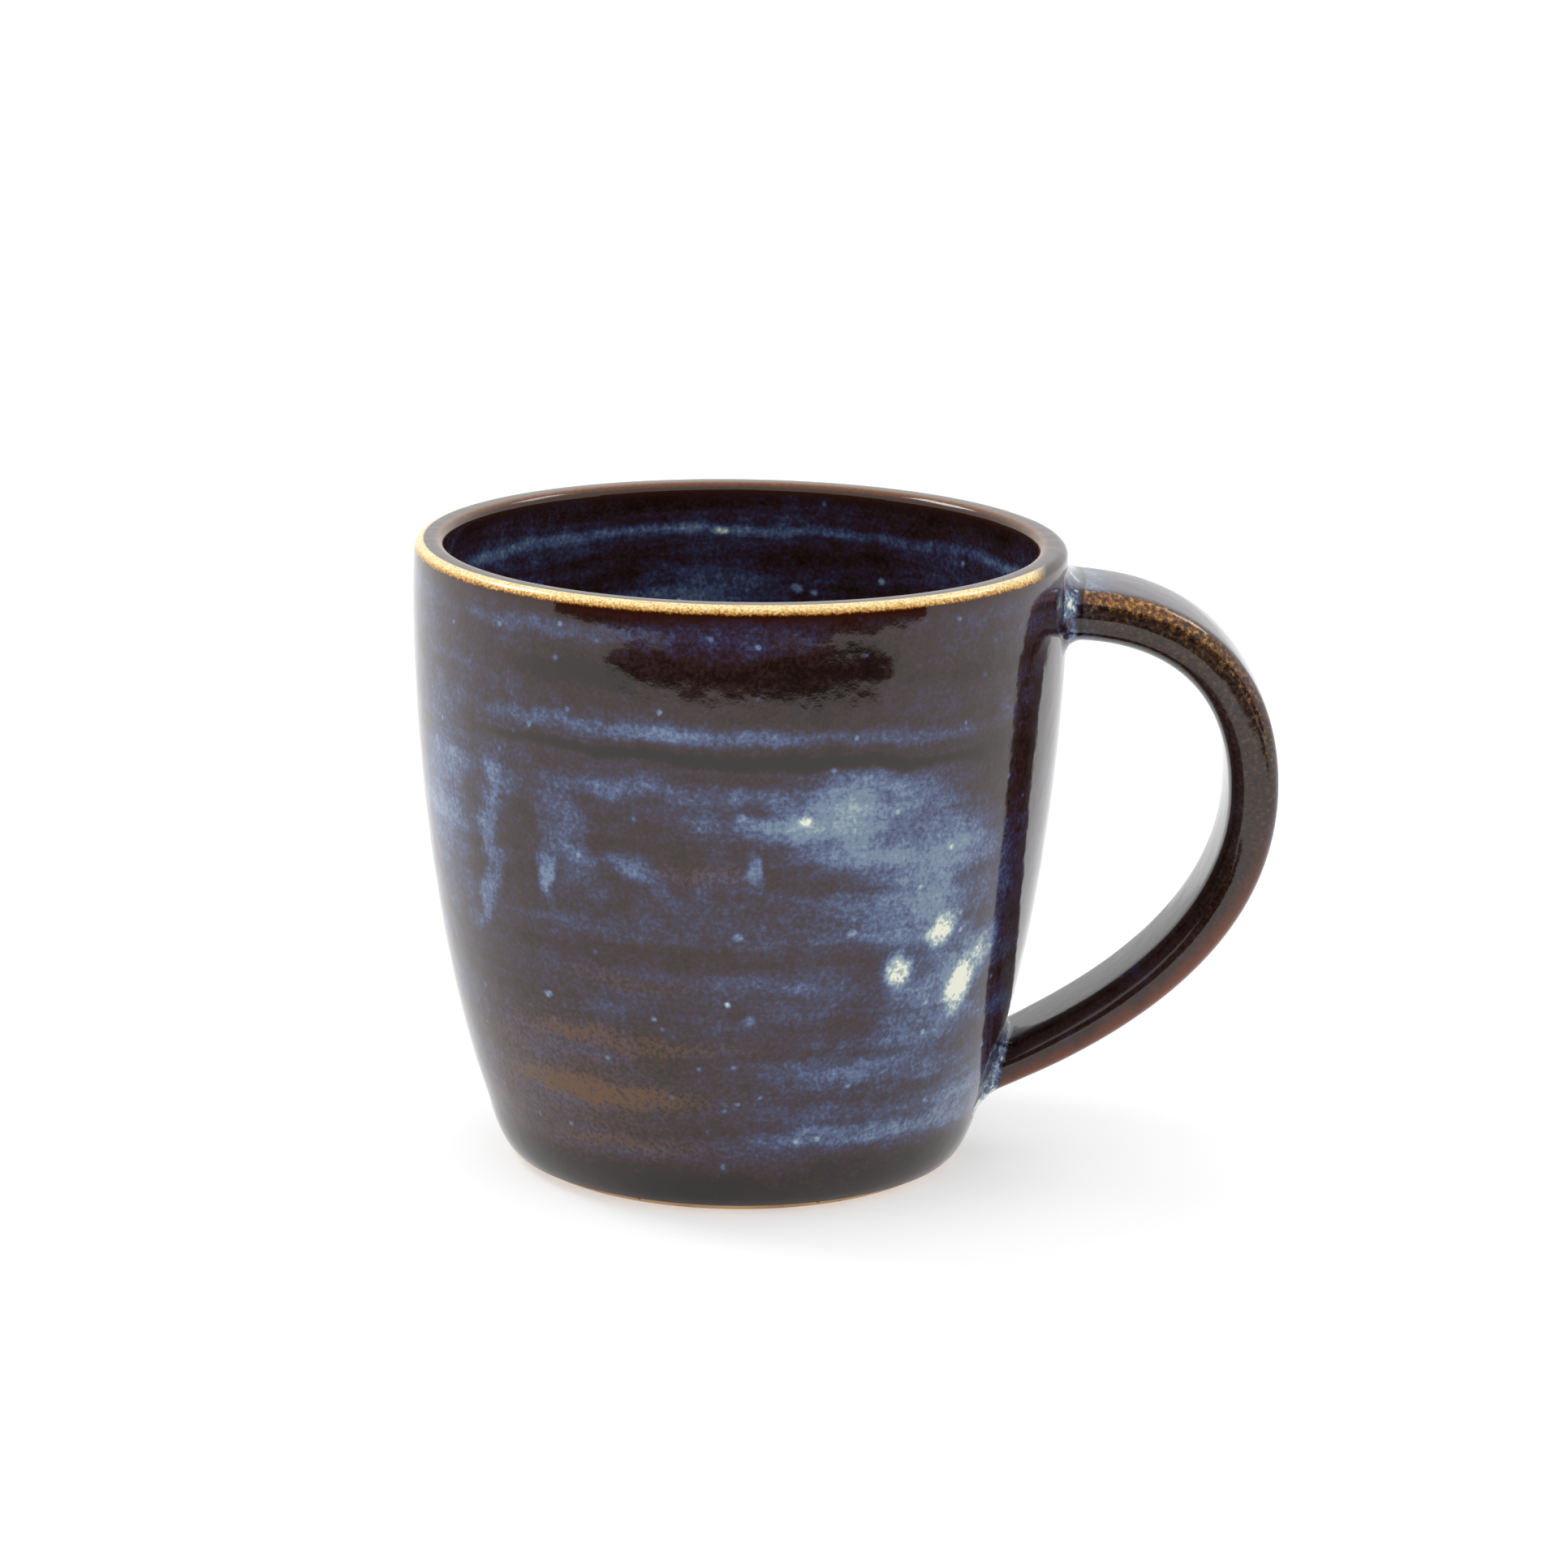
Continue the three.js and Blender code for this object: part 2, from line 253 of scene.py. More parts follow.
upper_root = Vector((clay_radius(cup_top - ROOT_DROP), cup_top - ROOT_DROP))
lower_root = Vector((clay_radius(LOWER_ROOT), LOWER_ROOT))
bow = Vector((RIM_RADIUS + BOW_REACH, LOWER_ROOT + BOW_SHARE * (upper_root.y - LOWER_ROOT)))
lower_rise = leaning(90 - LOWER_RISE, 1)
lower_pull = LOWER_PULL * (bow.x - lower_root.x) / lower_rise.x
centreline = cubic(upper_root, upper_root + Vector((ROOT_PULL * (bow.x - upper_root.x), 0)),
                   bow + Vector((0, BOW_PULL_UP * (upper_root.y - bow.y))), bow, 400)
centreline += cubic(bow, bow - Vector((0, BOW_PULL_DOWN * (bow.y - lower_root.y))),
                    lower_root + lower_rise * lower_pull, lower_root, 400)[1:]
travelled = [0.0]
for before, after in zip(centreline, centreline[1:]):
    travelled.append(travelled[-1] + (after - before).length)
strap_length = travelled[-1]


def on_centreline(distance):
    """The centreline's point and direction at a distance from the upper root, in (x, z)."""
    after = next((index for index, gone in enumerate(travelled) if gone > distance), len(travelled) - 1)
    start, end = centreline[after - 1], centreline[after]
    share = (distance - travelled[after - 1]) / (travelled[after] - travelled[after - 1])
    first = (centreline[after] - centreline[max(after - 2, 0)]).normalized()
    last = (centreline[min(after + 1, len(centreline) - 1)] - centreline[after - 1]).normalized()
    return start.lerp(end, share), first.lerp(last, share).normalized()


print("strap length", round(strap_length, 1), "mm, reaching", round(bow.x - upper_root.x, 1), "mm out")

# %% [markdown]
# The handle is luted on with slip, and glaze pools in the hollow round each root. So the strap swells into
# a small fillet at both ends: the rings get wider towards the wall along a quarter circle. They also bend
# to lie against the round wall, and that fades out a few millimetres along the strap.

# %% Plan the rings
FILLET = 2.3
root_angles = [90, 78, 66, 54, 42, 31, 21, 12, 5, 0]
root_rings = [(COAT + FILLET * (1 - math.sin(angle)), FILLET * (1 - math.cos(angle)))
              for angle in map(math.radians, root_angles)]
first_plain, last_plain = COAT + FILLET, strap_length - COAT - FILLET
plain_steps = 72
inside_coat = (COAT - 0.3, FILLET)
rings = [inside_coat, *root_rings]
for step in range(1, plain_steps):
    rings.append((first_plain + (last_plain - first_plain) * step / plain_steps, 0))
rings += [(strap_length - distance, swell) for distance, swell in [*root_rings[::-1], inside_coat]]
HALF_WIDTH, HALF_THICKNESS, TAPER = 9.0, 3.35, 1.1


def half_section(distance):
    """Half the glazed strap's width and thickness at a distance along it."""
    share = (distance + 2) / (strap_length + 4)
    return HALF_WIDTH - TAPER * share + COAT, HALF_THICKNESS - TAPER * share + COAT


print(len(rings), "rings")

# %% [markdown]
# The section could be typed in as a list of points, but a bevelled rectangle keeps its roundings as sizes.
# Subdividing its straight sides gives vertices to crown, so each face bulges by a few tenths of a
# millimetre.

# %% Model the section
ARRIS, FINGER_ROUNDING = 2.0, 3.7
FACE_CROWN, SIDE_CROWN = 0.09, 0.035


def select_verts(piece, wanted):
    """Select the vertices in edit mode that pass a test on their place in millimetres."""
    mesh = bmesh.from_edit_mesh(piece.data)
    mesh.select_mode = {"VERT"}
    for vertex in mesh.verts:
        vertex.select_set(bool(wanted(vertex.co / MM)))
    mesh.select_flush_mode()
    bmesh.update_edit_mesh(piece.data)


deselect_all()
bpy.ops.mesh.primitive_plane_add(size=MM, rotation=(0, math.pi / 2, 0))
handle = bpy.context.object
handle.name = handle.data.name = "handle_glazed_strap"
bpy.ops.object.transform_apply(location=True, rotation=True, scale=True)
bpy.ops.object.mode_set(mode="EDIT")
bpy.ops.mesh.select_mode(type="VERT")
bpy.ops.mesh.select_all(action="SELECT")
wide, thick = half_section(rings[0][0])
bpy.ops.transform.resize(value=(1, 2 * wide, 2 * thick))
select_verts(handle, lambda place: place.z > 0)
bpy.ops.mesh.bevel(offset=ARRIS * MM, segments=6, affect="VERTICES")
select_verts(handle, lambda place: place.z < -thick + 0.01)
bpy.ops.mesh.bevel(offset=FINGER_ROUNDING * MM, segments=10, affect="VERTICES")
select_verts(handle, lambda place: abs(place.z) > thick - 0.01)
bpy.ops.mesh.subdivide(number_cuts=11)
select_verts(handle, lambda place: abs(place.y) > wide - 0.01)
bpy.ops.mesh.subdivide(number_cuts=5)
section = bmesh.from_edit_mesh(handle.data)
for vertex in section.verts:
    side, outer = vertex.co.y / MM / wide, vertex.co.z / MM / thick
    vertex.co.z *= 1 - FACE_CROWN * side * side
    vertex.co.y *= 1 - SIDE_CROWN * outer * outer
bmesh.update_edit_mesh(handle.data)
section_count = len(section.verts)
bpy.ops.mesh.select_all(action="SELECT")
bpy.ops.transform.resize(value=(1, 1 + rings[0][1] / wide, 1 + rings[0][1] / thick))
print("section of", section_count, "vertices")

# %% [markdown]
# Every ring is a copy of the one before: extruded along the centreline, turned to its new heading and
# scaled to its new size. The rings follow each other in order, so a vertex's number tells its ring.

# %% Extrude the rings
# With no window, transform.rotate turns the other way round, which is the way that the heading counts here.
bpy.ops.mesh.select_mode(type="FACE")
bpy.ops.mesh.select_all(action="SELECT")
first_middle, _ = on_centreline(rings[0][0])
bpy.ops.transform.translate(value=(first_middle.x * MM, 0, first_middle.y * MM))
for before, after in zip(rings, rings[1:]):
    (start, old_heading), (end, new_heading) = on_centreline(before[0]), on_centreline(after[0])
    step = (end - start) * MM
    bpy.ops.mesh.extrude_region_move(TRANSFORM_OT_translate={"value": (step.x, 0, step.y)})
    middle = (end.x * MM, 0, end.y * MM)
    turn = math.atan2(new_heading.y, new_heading.x) - math.atan2(old_heading.y, old_heading.x)
    bpy.ops.transform.rotate(value=turn, orient_axis="Y", center_override=middle)
    old_wide, old_thick = (half + before[1] for half in half_section(before[0]))
    new_wide, new_thick = (half + after[1] for half in half_section(after[0]))
    thinner = new_thick / old_thick
    bpy.ops.transform.resize(value=(thinner, new_wide / old_wide, thinner), center_override=middle)
bpy.ops.mesh.select_all(action="SELECT")
bpy.ops.mesh.normals_make_consistent(inside=False)
bpy.ops.object.mode_set(mode="OBJECT")
vertex_count = len(handle.data.vertices)
print("strap of", vertex_count, "vertices in", vertex_count // section_count, "rings")

# %% [markdown]
# A Shrinkwrap would press every ring onto the wall, so instead each vertex near a root looks for the wall
# with a ray and takes its share of the gap. An attribute keeps its place on the strap for the glaze.

# %% Lay the roots on the wall, and note each point's place on the strap
def ease(share):
    """0 to 1 with a soft start and end."""
    share = min(1, max(0, share))
    return share * share * (3 - 2 * share)


ROOT_BLEND, RAY_START = 9.0, 30.0
upward = Vector((1, 0, 0)), Vector((lower_rise.x, 0, lower_rise.y))
strap_place = handle.data.attributes.new("strap", "FLOAT_VECTOR", "POINT")
for index, vertex in enumerate(handle.data.vertices):
    distance, swell = rings[index // section_count]
    middle, heading = on_centreline(distance)
    wide, thick = (half + swell for half in half_section(distance))
    offset = vertex.co / MM - Vector((middle.x, 0, middle.y))
    outer = (offset.z * heading.x - offset.x * heading.y) / thick
    strap_place.data[index].vector = (offset.y / wide, outer, distance / strap_length)
    at_lower_root = distance > strap_length / 2
    outwards = upward[at_lower_root]
    stand_off = (strap_length - distance if at_lower_root else distance) - COAT
    if stand_off < ROOT_BLEND:
        hit, wall, _, _ = glaze_outside.ray_cast(vertex.co + outwards * (RAY_START * MM), -outwards)
        gap = (vertex.co - wall).dot(outwards) / MM
        if hit:
            vertex.co += outwards * (stand_off - gap) * ease(1 - stand_off / ROOT_BLEND) * MM
strap_top = max(vertex.co.z for vertex in handle.data.vertices)
print("highest point of the strap", round(strap_top / MM, 1), "mm")

# %% [markdown]
# The joints are separate pieces of the same skin: the fillet rings at each end are separated from the
# strap, so that the surfaces run on from one to the other without a step. Each joint is capped into a
# solid, and the strap between them gets its glaze thickness from Solidify, over the clay strap that stays
# inside.

# %% Separate the joints and give the strap's glaze a thickness
def pick(piece):
    """Make a piece the only selected one, and the active one."""
    deselect_all()
    piece.select_set(True)
    bpy.context.view_layer.objects.active = piece


def split_off(name, wanted):
    """Separate the faces whose rings pass a test into a piece of their own."""
    pick(handle)
    bpy.ops.object.mode_set(mode="EDIT")
    bpy.ops.mesh.select_mode(type="FACE")
    bpy.ops.mesh.select_all(action="DESELECT")
    mesh = bmesh.from_edit_mesh(handle.data)
    share = mesh.verts.layers.float_vector["strap"]
    for face in mesh.faces:
        face.select_set(all(wanted(vertex[share].z * strap_length) for vertex in face.verts))
    bmesh.update_edit_mesh(handle.data)
    bpy.ops.mesh.separate(type="SELECTED")
    bpy.ops.object.mode_set(mode="OBJECT")
    part = next(thing for thing in bpy.context.selected_objects if thing is not handle)
    part.name = part.data.name = name
    return part


joint_upper = split_off("joint_pooled_glaze_upper", lambda distance: distance < first_plain + 0.01)
joint_lower = split_off("joint_pooled_glaze_lower", lambda distance: distance > last_plain - 0.01)
for joint in (joint_upper, joint_lower):
    pick(joint)
    bpy.ops.object.mode_set(mode="EDIT")
    bpy.ops.mesh.select_all(action="DESELECT")
    bpy.ops.mesh.select_mode(type="EDGE")
    bpy.ops.mesh.select_non_manifold()
    bpy.ops.mesh.edge_face_add()
    bpy.ops.mesh.select_all(action="SELECT")
    bpy.ops.mesh.normals_make_consistent(inside=False)
    bpy.ops.object.mode_set(mode="OBJECT")

pick(handle)
coat = handle.modifiers.new("glaze thickness", "SOLIDIFY")
coat.thickness = (COAT - SEAM) * MM
coat.offset = -1
bpy.ops.object.modifier_apply(modifier=coat.name)
for piece in (joint_upper, joint_lower, handle):
    pick(piece)
    bpy.ops.object.shade_smooth_by_angle(angle=math.radians(50))
    size = [round(side / MM, 1) for side in piece.dimensions]
    print(piece.name, "is", size, "mm with", len(piece.data.polygons), "faces")

# %% [markdown]
# ## Finishes
# A glaze is a glass, so it has the index of refraction of glass and a low roughness, and its colour lies
# under a sharp reflection. All the colours are sRGB codes that one function turns into linear light, and
# one function adds a node with its settings and links. Every pattern reads the piece's own coordinates,
# turned into millimetres.

# %% Colour and node helpers
def linear(code):
    """An sRGB hex colour as linear red, green and blue with full alpha."""
    colour = []
    for at in (1, 3, 5):
        share = int(code[at:at + 2], 16) / 255
        colour.append(share / 12.92 if share <= 0.04045 else ((share + 0.055) / 1.055) ** 2.4)
    return [*colour, 1.0]


def put(tree, kind, settings=None, links=None):
    """Add a node. Settings name a socket or a property. Links give a socket its node, or (node, output)."""
    node = tree.nodes.new("ShaderNode" + kind)
    for name, value in (settings or {}).items():
        if name == "stops":
            ramp = node.color_ramp
            ramp.interpolation = "EASE"
            while len(ramp.elements) < len(value):
                ramp.elements.new(1)
            for element, (position, code) in zip(ramp.elements, value):
                element.position, element.color = position, linear(code)
        elif isinstance(name, int) or name in node.inputs:
            node.inputs[name].default_value = value
        else:
            setattr(node, name, value)
    for name, source in (links or {}).items():
        source, output = source if isinstance(source, tuple) else (source, 0)
        tree.links.new(node.inputs[name], source.outputs[output])
    return node


# %% [markdown]
# ## The reactive glaze
# The colour of this glaze follows its thickness. Thin glaze over iron-rich slip fires to chocolate brown,
# thicker glaze breaks to violet and blue, and where it ran and pooled it goes pale blue and at last cream.
# So the recipe is one field of thickness that runs through one colour ramp: a cream drop gets its pale blue
# halo by itself. The field is a sum of brushed streaks 4.5 mm high, broad patches, a mottle, specks, marks
# that are placed one by one, and a fine grain that is drawn at 0.6 mm so that it shows.

# %% One recipe for every coat
GLAZE_STOPS = [(0.0, "#120908"), (0.22, "#1d100c"), (0.36, "#2d1c1a"), (0.46, "#322638"), (0.57, "#373c58"),
               (0.68, "#4c5a7c"), (0.79, "#687a90"), (0.90, "#93a5aa"), (1.0, "#dfe0cd")]
# Honey of thin glaze, from amber to pale cream; the palest stops are partly a painted highlight
HONEY_AND_HIGHLIGHT_STOPS = [(0.34, "#3f1d0b"), (0.50, "#85501a"), (0.64, "#bb8836"), (0.80, "#e2bf76"),
               (0.96, "#f6e6b4")]
# Sizes in millimetres of what the glaze shows
PATCH, MOTTLE, GRAIN, FLECK, SPECK_SPACING, PEEL = 24, 2.6, 0.6, 0.32, 4.6, 3.2


def reactive_glaze(name, thickness, thin, streak_size=(30, 30, 4.5), streak_share=0.62):
    """A glossy glaze. One function adds to its thickness, and one lays colours over it where it is thin."""
    material = bpy.data.materials.new(name)
    material.use_nodes = True
    tree = material.node_tree
    tree.nodes.clear()
    place = put(tree, "TexCoord")
    mm = put(tree, "Mapping", {"Scale": (1000, 1000, 1000)}, {"Vector": (place, 3)})
    # Brushed streaks, long in the direction of turning
    stretched = put(tree, "Mapping", {"Scale": [1 / size for size in streak_size]}, {"Vector": mm})
    streaks = put(tree, "TexNoise", {"Scale": 1, "Detail": 6, "Roughness": 0.6, "Distortion": 0.3},
                  {"Vector": stretched})
    patches = put(tree, "TexNoise", {"Scale": 1 / PATCH, "Detail": 2, "Roughness": 0.5}, {"Vector": mm})
    mottle = put(tree, "TexNoise", {"Scale": 1 / MOTTLE, "Detail": 3, "Roughness": 0.6}, {"Vector": mm})
    grain = put(tree, "TexNoise", {"Scale": 1 / GRAIN, "Detail": 2, "Roughness": 0.6}, {"Vector": mm})
    cells = put(tree, "TexVoronoi", {"Scale": 1 / SPECK_SPACING, "Randomness": 1}, {"Vector": mm})
    specks = put(tree, "MapRange", {"From Min": 0.13, "From Max": 0.04, "To Max": 0.26,
                                    "interpolation_type": "SMOOTHSTEP"}, {"Value": (cells, 0)})
    # The field: how thick the glaze lies, where 0 is bare iron brown and 1 is a cream pool
    field = put(tree, "Math", {"operation": "MULTIPLY_ADD", 1: streak_share, 2: -streak_share / 2},
                {0: streaks})
    field = put(tree, "Math", {"operation": "MULTIPLY_ADD", 1: 0.55}, {0: patches, 2: field})
    field = put(tree, "Math", {"operation": "MULTIPLY_ADD", 1: 0.34}, {0: mottle, 2: field})
    field = put(tree, "Math", {"operation": "MULTIPLY_ADD", 1: 0.48}, {0: grain, 2: field})
    field = put(tree, "Math", {"operation": "ADD"}, {0: field, 1: specks})
    field = thickness(tree, mm, field, grain)
    colour = put(tree, "ValToRGB", {"stops": GLAZE_STOPS}, {"Fac": field})
    colour = thin(tree, mm, colour, grain)
    # Thin glaze is like wet glass, a thick pool is a little milky, and all of it has a faint orange peel
    gloss = put(tree, "MapRange", {"From Min": 0.5, "From Max": 1, "To Min": 0.07, "To Max": 0.22},
                {"Value": field})
    peel = put(tree, "TexNoise", {"Scale": 1 / PEEL, "Detail": 1, "Roughness": 0.4}, {"Vector": mm})
    relief = put(tree, "Math", {"operation": "MULTIPLY_ADD", 1: 0.12}, {0: grain, 2: peel})
    bump = put(tree, "Bump", {"Strength": 1, "Distance": 0.00005}, {"Height": relief})
    shader = put(tree, "BsdfPrincipled", {"IOR": 1.52},
                 {"Base Color": colour, "Roughness": gloss, "Normal": bump})
    put(tree, "OutputMaterial", links={"Surface": shader})
    print(name, "has", len(tree.nodes), "nodes")
    return material


def marked(tree, spot, marks, field=None):
    """Add soft oval marks to a field: (middle, half sizes in millimetres, turn in degrees, strength)."""
    for middle, half_sizes, turn, strength in marks:
        in_mark = put(tree, "Mapping", {"vector_type": "TEXTURE", "Location": middle, "Scale": half_sizes,
                                        "Rotation": (0, math.radians(turn), 0)}, {"Vector": spot})
        reach = put(tree, "VectorMath", {"operation": "LENGTH"}, {0: in_mark})
        share = put(tree, "MapRange", {"From Min": 1.35, "From Max": 0.35, "To Max": strength,
                                       "interpolation_type": "SMOOTHSTEP"}, {"Value": (reach, 1)})
        field = put(tree, "Math", {"operation": "ADD"}, {0: field, 1: share}) if field else share
    return field


# %% [markdown]
# ## The outside coat
# On the outside the glaze was brushed and then ran a little. The marks are placed on the side that faces
# the viewer: a pale cloud with cream drops below it on the right, blue runs on the left, a thin dark line
# under a blue band at three quarters of the height, brown bands low on the left and blue ones low on the
# right. The back gets a quieter cloud and two runs of its own. The lip is honey, because glaze runs off a
# sharp edge, and the pale top of the honey is a painted highlight.

# %% Marks of the outside coat
BROAD_MARKS = [
    ((23, -37, 55), (16, 14, 8), 10, 0.22), ((12, -41, 56), (8, 12, 7), 0, 0.24),
    ((31, -28, 42), (8, 12, 14), 0, 0.2), ((21, -36, 44), (10, 12, 8), 0, 0.36),
    ((26, -30, 30), (9, 14, 8), 0, 0.22), ((-3, -43, 56), (15, 14, 9), 0, 0.1),
    ((17, -40, 61.5), (11, 12, 3), 6, 0.16), ((-6, -43, 61), (15, 16, 1.8), 0, 0.2),
    ((2, -43, 56), (9, 12, 2.2), 0, 0.16), ((-1, -36, 68.6), (36, 24, 1.5), 1.5, 0.26),
    ((2, -36, 65.2), (38, 24, 1.0), 2.0, -0.34), ((-24, -34, 81.6), (14, 18, 1.4), 0, 0.22),
    ((-32.6, -27, 50), (1.8, 9, 16), 9, 0.3), ((-39, -18, 52), (5, 10, 14), 0, 0.18),
    ((-24.4, -35, 47.8), (1.7, 9, 3.8), 6, 0.36), ((-22, -37, 55), (3.4, 9, 7), -20, 0.22),
    ((-13, -40, 50), (4.4, 9, 2.2), 24, 0.26), ((1.3, -43, 50.4), (1.6, 9, 2.6), 0, 0.3),
    ((21, -31, 21), (16, 18, 2.2), 4, 0.19), ((14, -32, 11.6), (20, 18, 1.8), 0, 0.2),
    ((29, -18, 14), (7, 12, 6), 0, 0.16), ((-2, -42, 38), (30, 18, 2.2), 0, -0.1),
    ((0, -42, 76.5), (44, 30, 4), 0, -0.1), ((-22, 34, 52), (16, 14, 8), 6, 0.28),
    ((12, 40, 36), (10, 12, 6), 0, 0.2), ((24, 34, 58), (1.8, 9, 10), 0, 0.24),
    ((0, 0, 2), (80, 80, 6), 0, -0.3),
]
DROPS = [
    ((21.2, -34.9, 35.5), (2.2, 5, 2.7), 14, 0.44), ((27.1, -31.6, 40.1), (1.9, 5, 3.1), 34, 0.28),
    ((29.6, -27.3, 30.9), (1.9, 5, 4.4), 14, 0.36), ((33.2, -24, 36.0), (1.6, 5, 4.0), 20, 0.24),
    ((31.3, -26.6, 36.6), (1.7, 5, 2.2), 0, 0.16), ((8.8, -42.6, 57.4), (1.0, 4, 0.9), 0, 0.18),
    ((0.5, -43.6, 58.0), (0.8, 4, 0.7), 0, 0.22), ((-24.8, -31.4, 30.7), (0.6, 4, 0.6), 0, 0.42),
    ((-10.4, -38.4, 29.4), (0.5, 4, 0.5), 0, 0.4), ((-1.0, -40.2, 31.9), (0.5, 4, 0.5), 0, 0.46),
    ((1.7, -39.8, 29.6), (0.9, 4, 0.9), 0, 0.26), ((0.2, -41.8, 41.4), (0.8, 4, 0.6), 0, 0.3),
    ((15.1, -39.0, 41.5), (0.7, 4, 0.6), 0, 0.24), ((-24, -37.4, 77.5), (0.6, 4, 0.6), 0, 0.34),
    ((-10.3, -43.1, 71.7), (0.4, 4, 0.5), 0, 0.4), ((16, -41.5, 79.2), (0.6, 4, 0.4), 0, 0.38),
]
BROWN_BANDS = [
    ((-24, -26, 18), (20, 22, 13), 0, 0.48), ((-18, -32, 17.6), (20, 14, 2.2), 0, 0.6),
    ((-14, -36, 25.4), (20, 12, 1.8), 2, 0.52), ((-14, -38, 34), (12, 10, 1.6), 0, 0.45),
    ((-4, -42, 49.5), (8, 8, 1.6), 0, 0.48), ((-10, -30, 10), (14, 12, 1.6), 0, 0.4),
    ((14, 36, 20), (20, 14, 6), 0, 0.5),
]


def pushed(tree, mm, size, reach):
    """Coordinates pushed about by noise, so that what they place gets ragged edges."""
    noise = put(tree, "TexNoise", {"Scale": 1 / size, "Detail": 4, "Roughness": 0.65}, {"Vector": mm})
    centred = put(tree, "VectorMath", {"operation": "SUBTRACT", 1: (0.5, 0.5, 0.5)}, {0: (noise, 1)})
    push = (reach * 2, reach * 2, reach)
    return put(tree, "VectorMath", {"operation": "MULTIPLY_ADD", 1: push}, {0: centred, 2: mm})


def rim_place(tree, mm, grain):
    """A point's height, made ragged by the grain, its distance from the axis, and its X, all in mm."""
    axes = put(tree, "SeparateXYZ", links={"Vector": mm})
    ragged_height = put(tree, "Math", {"operation": "MULTIPLY_ADD", 1: 0.5}, {0: grain, 2: (axes, 2)})
    flat = put(tree, "CombineXYZ", links={"X": (axes, 0), "Y": (axes, 1)})
    radius = put(tree, "VectorMath", {"operation": "LENGTH"}, {0: flat})
    return ragged_height, (radius, 1), (axes, 0)


def outside_thickness(tree, mm, field, grain):
    """The brushed streaks with the broad marks, held back from cream, and the drops that do go cream."""
    field = put(tree, "Math", {"operation": "ADD", 1: -0.27}, {0: field})
    field = marked(tree, pushed(tree, mm, 11, 5), BROAD_MARKS, field)
    past_blue = put(tree, "Math", {"operation": "ADD", 1: -0.78}, {0: field})
    past_blue = put(tree, "Math", {"operation": "MAXIMUM", 1: 0}, {0: past_blue})
    field = put(tree, "Math", {"operation": "MULTIPLY_ADD", 1: -0.5}, {0: past_blue, 2: field})
    return marked(tree, pushed(tree, mm, 3, 0.8), DROPS, field)


def outside_thin(tree, mm, colour, grain):
    """Iron brown bands low down, a dark edge under the lip, and honey on the lip, pale at the top with a
    painted highlight.
    """
    bands = marked(tree, pushed(tree, mm, 9, 5), BROWN_BANDS)
    speckled = put(tree, "Math", {"operation": "MULTIPLY_ADD", 1: 4.5, 2: -2.3}, {0: grain})
    share = put(tree, "Math", {"operation": "ADD", "use_clamp": True}, {0: bands, 1: speckled})
    share = put(tree, "Math", {"operation": "MULTIPLY", "use_clamp": True}, {0: share, 1: bands})
    colour = put(tree, "Mix", {"data_type": "RGBA", 7: linear("#5a3c20")}, {0: share, 6: colour})
    level, radius, to_handle = rim_place(tree, mm, grain)
    under = put(tree, "MapRange", {"From Min": 83.2, "From Max": 84.8}, {"Value": level})
    colour = put(tree, "Mix", {"data_type": "RGBA", 7: linear("#2e130b")}, {0: under, 6: (colour, 2)})
    # The honey line lies on the lip's outer rounding and stops short of the handle
    edge = put(tree, "MapRange", {"From Min": 85.0, "From Max": 85.3}, {"Value": level})
    outer = put(tree, "MapRange", {"From Min": 42.9, "From Max": 43.15}, {"Value": radius})
    away = put(tree, "MapRange", {"From Min": 40.5, "From Max": 38.5}, {"Value": to_handle})
    honey_share = put(tree, "Math", {"operation": "MULTIPLY"}, {0: edge, 1: outer})
    honey_share = put(tree, "Math", {"operation": "MULTIPLY"}, {0: honey_share, 1: away})
    flecks = put(tree, "TexNoise", {"Scale": 1 / FLECK, "Detail": 2, "Roughness": 0.6}, {"Vector": mm})
    # Paler towards the top of the rounding: amber below where the glaze is thicker, and a painted highlight
    # at the top
    paler_upwards_painted_highlight = put(tree, "MapRange", {"From Min": 85.0, "From Max": 85.9, "To Max": 0.44}, {"Value": level})
    honey_tone_and_highlight = put(tree, "Math", {"operation": "MULTIPLY_ADD", 1: 0.9}, {0: flecks, 2: paler_upwards_painted_highlight})
    honey = put(tree, "ValToRGB", {"stops": HONEY_AND_HIGHLIGHT_STOPS}, {"Fac": honey_tone_and_highlight})
    return put(tree, "Mix", {"data_type": "RGBA"}, {0: honey_share, 6: (colour, 2), 7: honey}), 2


# Glazed stoneware, brushed on: blue and cream streaks under a sharp reflection, honey on the sharp lip
outside_finish = reactive_glaze("glossy_reactive_glaze_brushed", outside_thickness, outside_thin)

# %% [markdown]
# ## The inside coat
# Inside, the same glaze was poured and swirled out, so it is bluer and its bands lie closer together. It
# has a blue band under the lip, pale specks, and a pool of thick glaze on the floor. The land on top of the
# lip is dark, and its inner edge goes golden brown where the glaze is thin, which is partly a painted
# highlight.

